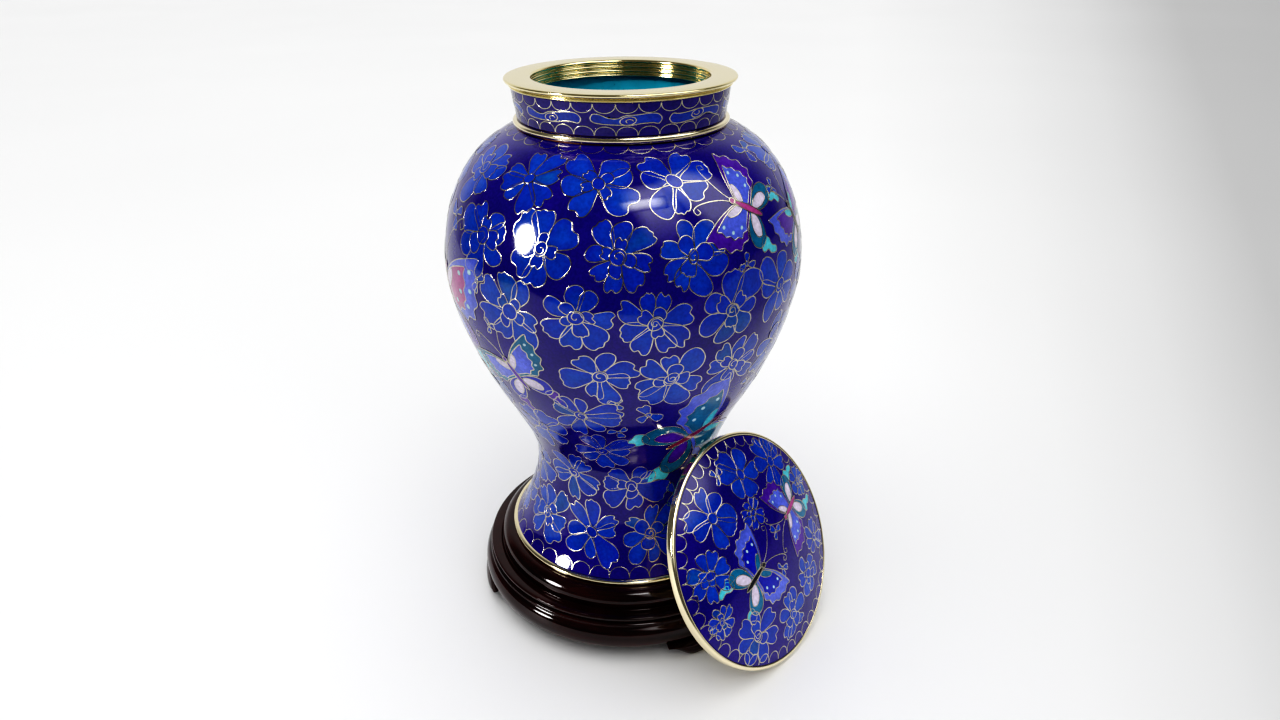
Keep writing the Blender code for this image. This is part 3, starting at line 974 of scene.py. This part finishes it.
def build_vase():
    """Glazed body, neck and lining, and the three brass rings."""
    for part, ground in (("body", BODY), ("neck", NECK)):
        turned(part + "_ground_glass", wall(ground, 0.0)[::-1] + wall(ground, ENAMEL), GROUND, "vase",
               [part + "_enamel"])
    floor_z, neck_r, pole_r = 5.0, 46.8, 0.05
    outer = wall(BODY, SKIN + 0.1, floor_z + 1.2, neck_r)
    inner = wall(BODY, SKIN + LINING, floor_z + LINING + 1.4, neck_r)
    floor_r = outer[0][0] - 1.2
    across = [(floor_r, floor_z + 0.1), (pole_r, floor_z + 0.1), (pole_r, floor_z + LINING),
              (floor_r - 1.0, floor_z + LINING)]
    turned("lining_glass", outer[::-1] + across + inner, TURQUOISE, "vase",
           ["lining_enamel"])
    turned("foot_ring_turned",
           rounded([(63.4, 2.6), (64.7, 2.0), (64.7, 0.5), (64.2, 0.0), (58.6, 0.0), (58.6, 2.6)], 0.5),
           BRASS, "vase", ["foot_ring"])
    turned("collar_ring_turned",
           rounded([(48.2, 222.4), (49.3, 221.9), (49.5, 220.9), (49.2, 219.9), (48.4, 219.4), (46.6, 219.4),
                    (46.6, 222.4)], 0.7),
           BRASS, "vase", ["collar_ring"])
    flange = [(51.9, 0.0), (52.5, -0.5), (52.3, -1.3), (51.2, -1.9), (50.1, -2.3), (49.8, -2.7),
              (50.5, -3.0), (50.3, -3.5), (49.8, -3.6), (INSERT_R, -3.6)]
    turned("mouth_ring_turned",
           rounded([(r, MOUTH_Z + z) for r, z in flange] + [(INSERT_R, INSERT_Z), (BORE_R, INSERT_Z)]
                   + threads(BORE_R, 0.9, INSERT_Z + 0.6, 3)
                   + [(BORE_R, MOUTH_Z - 0.6), (BORE_R + 0.6, MOUTH_Z)], 0.32, 3),
           RIM_BRASS, "vase", ["mouth_ring"])


def dome_layer(edge, steps, depth, thick):
    """The outline of a layer of the dome: its upper side out, its lower side back."""
    spread = [edge * (i / steps) for i in range(steps + 1)]
    top = [(max(r, 0.02), float(DOME.height(r)) - depth) for r in spread]
    return top + [(r, z - thick) for r, z in top[::-1]]


def build_lid():
    """The dome's glass and lining, its brass band and the threaded ring under it."""
    edge = LID_FACE_R - 0.25
    turned("lid_ground_glass", dome_layer(edge, 26, 0.0, ENAMEL), GROUND, "lid",
           ["lid_enamel"], LID_PLACE)
    turned("lid_lining_glass", dome_layer(edge - COPPER - FIT, 20, SKIN + 0.06, LINING - 0.06), TURQUOISE,
           "lid", ["lid_lining"], LID_PLACE)
    turned("lid_band_turned",
           rounded([(58.3, LID_BAND), (59.2, 3.9), (59.2, 0.7), (58.7, 0.0), (52.5, 0.0), (52.5, 1.2),
                    (57.2, 1.2), (57.2, 4.4), (57.5, LID_BAND)], 0.7),
           BRASS, "lid", ["lid_rim_band"], LID_PLACE)
    turned("lid_plug_turned",
           rounded([(52.2, 1.2), (52.2, 0.0), (PLUG_R, 0.0)] + threads(PLUG_R, -0.9, -2.3, 2, way=-1.0)
                   + [(39.1, -6.5), (36.4, -6.5), (36.4, 1.2)], 0.35, 3),
           BORE_BRASS, "lid", ["lid_plug_ring"], LID_PLACE)


# ---- the stand

FOOT_ANGLES = {"right": -55.5, "back": 64.5, "left": 184.5}
FOOT_HALF = 21.0
FOOT_FLAT = 10.5
FOOT_OUT = 83.0
FOOT_IN = 66.0
FOOT_TOP = 9.4


def build_stand():
    """Lacquered turned mouldings and three bracket feet."""
    turned("stand_moulding_turned",
           rounded([(65.6, 36.7), (68.6, 35.9), (70.9, 33.4), (71.7, 30.4), (71.1, 27.3), (72.1, 27.1),
                    (72.5, 27.8), (77.6, 27.8), (78.2, 27.0), (77.8, 24.95), (46.0, 24.95), (46.0, 30.4),
                    (50.3, 30.4), (50.3, 36.7)], 2.4, 6),
           ROSEWOOD, "stand", ["stand_moulding"], STAND_PLACE)
    turned("stand_skirt_turned",
           rounded([(77.4, 24.55), (78.8, 23.7), (78.3, 22.5), (80.6, 20.6), (82.0, 16.4), (81.4, 12.0),
                    (79.0, 9.7), (65.0, 9.7), (65.0, 24.55)], 2.6, 6),
           ROSEWOOD, "stand", ["stand_skirt"], STAND_PLACE)
    for side, angle in FOOT_ANGLES.items():
        bracket_foot(side, angle)


def bracket_foot(side, angle):
    """A bracket foot whose shoulders sweep up to the skirt in an ogee, its edges eased."""
    cuts = np.linspace(-FOOT_HALF, FOOT_HALF, 61)
    rings = []
    for cut in cuts:
        way = max(0.0, (abs(cut) - FOOT_FLAT) / (FOOT_HALF - FOOT_FLAT))
        low = (FOOT_TOP - 0.9) * way * way * (3.0 - 2.0 * way)
        tall = FOOT_TOP - low
        ease = min(0.9, 0.4 * tall)
        section = rounded([(FOOT_OUT - 1.6, FOOT_TOP), (FOOT_OUT, FOOT_TOP - 0.35 * tall),
                           (FOOT_OUT - 0.2, low + 0.3 * tall), (FOOT_OUT - 1.2, low), (FOOT_IN + 0.6, low),
                           (FOOT_IN, FOOT_TOP)], ease, 4)
        turn = math.radians(angle + cut)
        rings.append([(r * math.cos(turn), r * math.sin(turn), z) for r, z in section])
    count = len(rings[0])
    points = np.array(rings).reshape(-1, 3)
    world, _ = to_world(points, points, STAND_PLACE)
    faces = []
    for i in range(len(rings) - 1):
        a, b = i * count, (i + 1) * count
        faces += [(a + k, b + k, b + (k + 1) % count, a + (k + 1) % count) for k in range(count)]
    faces.append(tuple(range(count)))
    faces.append(tuple(reversed(range((len(rings) - 1) * count, len(rings) * count))))
    name = "stand_foot_" + side + "_carved"
    place_piece(name, solid(name, world, faces, 40.0), ROSEWOOD, "stand",
                ["stand_foot_" + side])


def dress_kept_nodes():
    """Materials for the CAD nodes that stay as they are."""
    looks = {COPPER_LOOK: ("base_plate", "body_lower_shell", "body_upper_shell", "neck_sleeve",
                           "lid_dome_shell"),
             TURQUOISE: ("neck_lining",),
             PANEL_WOOD: ("stand_panel", "foot_pin_right", "foot_pin_back", "foot_pin_left")}
    for look, nodes in looks.items():
        for node in nodes:
            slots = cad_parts[node].data.materials
            slots.clear()
            slots.append(look)


# ---- studio

CAMERA_BACK = 407.4         # from the vase's axis, mm
CAMERA_UP = 304.1           # above the foot plane, mm
CAMERA_YAW = 1.05           # degrees towards +x
CAMERA_PITCH = 27.1         # degrees down
CAMERA_ROLL = -0.52
CAMERA_LENS = 24.6


def build_camera():
    """The camera at the height and angle the object is seen from."""
    yaw, pitch, roll = (math.radians(a) for a in (CAMERA_YAW, CAMERA_PITCH, CAMERA_ROLL))
    ahead = Vector((math.sin(yaw) * math.cos(pitch), math.cos(yaw) * math.cos(pitch), -math.sin(pitch)))
    right = Vector((math.cos(yaw), -math.sin(yaw), 0.0))
    up = right.cross(ahead)
    across = right * math.cos(roll) + up * math.sin(roll)
    top = up * math.cos(roll) - right * math.sin(roll)
    place = Matrix((across, top, -ahead)).transposed().to_4x4()
    place.translation = Vector((AXIS_AT.x, AXIS_AT.y - CAMERA_BACK, FOOT_Z + CAMERA_UP)) * MM
    lens = bpy.data.cameras.new("camera")
    lens.lens = CAMERA_LENS
    lens.sensor_width = 36.0
    lens.clip_start = 0.01
    lens.clip_end = 60.0
    camera = bpy.data.objects.new("camera", lens)
    camera.matrix_world = place
    show(camera)
    bpy.context.scene.camera = camera


def floor_look():
    """Plain pale paper with painted shade: its colour darkens towards the far right, standing in for the
    light falling off there.
    """
    look = Look("pale_paper", Roughness=0.55)
    x, y, _ = look.split(look.coords)
    lean = look.maths("MULTIPLY_ADD", y, -0.12, x)
    deep = look.maths("MAXIMUM", look.maths("ADD", y, 1.0), 0.5)
    # painted shade: a darkening towards the right, multiplied into the paper's colour in place of the light's
    # falloff
    painted_falloff = look.ramp(look.maths("DIVIDE", lean, deep),
                     ((0.13, 1.0), (0.25, 0.89), (0.33, 0.77), (0.42, 0.54), (0.60, 0.47)))
    fibre = look.ramp(look.noise(1.6, 2.0), ((0.30, (0.85, 0.85, 0.85)), (0.70, (0.87, 0.87, 0.87))))
    look.colour(look.mix(1.0, fibre, painted_falloff, "MULTIPLY"))
    return look.material


FLOOR_REACH = 12.0
TABLE = (-1.15, -0.65)      # left and front edge of the part of the floor that lights and shows in the glaze


def sheet(name, x0, x1, y0, y1, look):
    """A flat rectangle for the staging, facing up while y0 is the lower side."""
    mesh = bpy.data.meshes.new(name)
    mesh.from_pydata([(x0, y0, 0.0), (x1, y0, 0.0), (x1, y1, 0.0), (x0, y1, 0.0)], [], [(0, 1, 2, 3)])
    mesh.materials.append(look)
    made = bpy.data.objects.new(name, mesh)
    show(made)
    return made


def build_floor():
    """A pale floor in three sheets, of which the glaze mirrors only the one under the object."""
    look = floor_look()
    left, front = TABLE
    sheets = {"floor": (left, FLOOR_REACH, front, FLOOR_REACH),
              "floor_front": (-FLOOR_REACH, FLOOR_REACH, -FLOOR_REACH, front),
              "floor_left": (-FLOOR_REACH, left, front, FLOOR_REACH)}
    for name, sides in sheets.items():
        floor = sheet(name, *sides, look)
        floor.visible_glossy = floor.visible_diffuse = name == "floor"


HEART = Vector((AXIS_AT.x * MM, AXIS_AT.y * MM, 0.15))      # what lights are aimed at, in metres


def aim(thing, at, way):
    """Put a lamp or panel at a place in metres, facing along a direction."""
    thing.location = at
    thing.rotation_euler = way.to_track_quat("-Z", "Y").to_euler()


def softbox(name, at, size, watts, shape="RECTANGLE", lights=True, mirrored=True):
    """A soft light of a given size in metres. It can light, be mirrored, or both."""
    light = bpy.data.lights.new(name, "AREA")
    light.shape = shape
    light.size, light.size_y = size
    light.energy = watts
    lamp = bpy.data.objects.new(name, light)
    aim(lamp, at, HEART - Vector(at))
    lamp.visible_glossy = mirrored
    lamp.visible_diffuse = lights
    show(lamp)


def glow_panel(name, at, size, strength, rise=0.5):
    """A panel seen only in the glaze, fading at its sides and below a share of its height."""
    look = Look(name + "_light", Roughness=1.0, Emission_Strength=strength, Base_Color=(0.0, 0.0, 0.0),
                Specular_IOR_Level=0.0)
    wide, tall = (0.5 * side for side in size)
    x, y, _ = look.split(look.coords)
    side = look.maths("MULTIPLY_ADD", x, 0.5 / wide, 0.5)
    height = look.maths("MULTIPLY_ADD", y, 0.5 / tall, 0.5)
    across = look.ramp(side, ((0.0, 0.0), (0.28, 1.0), (0.72, 1.0), (1.0, 0.0)))
    up = look.ramp(height, ((0.02, 0.0), (rise, 0.9), (0.82, 1.0), (1.0, 0.0)))
    look.put(Emission_Color=look.mix(1.0, across, up, "MULTIPLY"))
    panel = sheet(name, -wide, wide, tall, -tall, look.material)
    aim(panel, at, HEART - Vector(at))
    panel.visible_camera = panel.visible_diffuse = panel.visible_shadow = False


MOUTH_WATTS = 27.0
MOUTH_LAMP_FAR = 1.2        # metres from the mouth
MOUTH_LIT = 0.036           # radius of its light at the mouth, in metres


def mouth_lamp():
    """A narrow soft lamp aimed into the mouth, for the turquoise glass inside."""
    light = bpy.data.lights.new("mouth_lamp", "SPOT")
    light.energy = MOUTH_WATTS
    light.shadow_soft_size = 0.02
    light.spot_size = 2.0 * math.atan(MOUTH_LIT / MOUTH_LAMP_FAR)
    light.spot_blend = 0.25
    lamp = bpy.data.objects.new("mouth_lamp", light)
    mouth = Vector((AXIS_AT.x, AXIS_AT.y, FOOT_Z + MOUTH_Z)) * MM
    way = Vector((-0.35, -0.72, 0.62)).normalized()
    aim(lamp, mouth + way * MOUTH_LAMP_FAR, -way)
    lamp.visible_glossy = False
    show(lamp)


def build_lights():
    """A lamp and window-like panels that only the glaze mirrors, a soft fill, sun and sky that only light."""
    softbox("lamp_left", (-1.37, -0.64, 0.66), (0.37, 0.44), 17.0, "ELLIPSE", lights=False)
    glow_panel("window_front", (0.76, -1.41, 1.92), (1.30, 2.40), 4.2)
    glow_panel("window_right", (1.54, -0.42, 1.92), (1.60, 2.40), 3.8, rise=0.18)
    glow_panel("strip_front", (0.41, -1.15, 1.97), (1.00, 0.42), 18.0)
    softbox("fill_front", (1.6, -2.6, 2.6), (3.0, 3.0), 34.0, mirrored=False)
    mouth_lamp()
    sky = bpy.data.lights.new("soft_top", "SUN")
    sky.energy = 2.75
    sky.angle = math.radians(80.0)
    lamp = bpy.data.objects.new("soft_top", sky)
    lamp.rotation_euler = (math.radians(6.0), math.radians(-8.0), 0.0)
    lamp.visible_glossy = False
    show(lamp)
    world = bpy.data.worlds.new("studio")
    bpy.context.scene.world = world
    nodes = Nodes(world)
    paint = nodes.tree.nodes["Background"].inputs
    paint["Strength"].default_value = 0.82
    depth = nodes.split(nodes.node("ShaderNodeTexCoord").outputs["Generated"])["Y"]
    nodes.feed(paint["Color"], nodes.ramp(depth, ((0.0, 0.13), (0.42, 0.15), (0.72, 1.0))))
    develop()


TOE = ((0.0, 0.0), (0.035, 0.008), (0.12, 0.068), (0.35, 0.32), (1.0, 1.0))


def develop():
    """Standard view with a short toe, for the deep darks of a contrasty camera."""
    view = bpy.context.scene.view_settings
    view.view_transform = "Standard"
    view.use_curve_mapping = True
    curve = view.curve_mapping.curves[3]
    for spot in TOE[1:-1]:
        curve.points.new(*spot)
    view.curve_mapping.update()


build_camera()
build_floor()
build_lights()
build_vase()
body_pattern()
neck_pattern()
build_lid()
lid_pattern()
build_stand()
dress_kept_nodes()
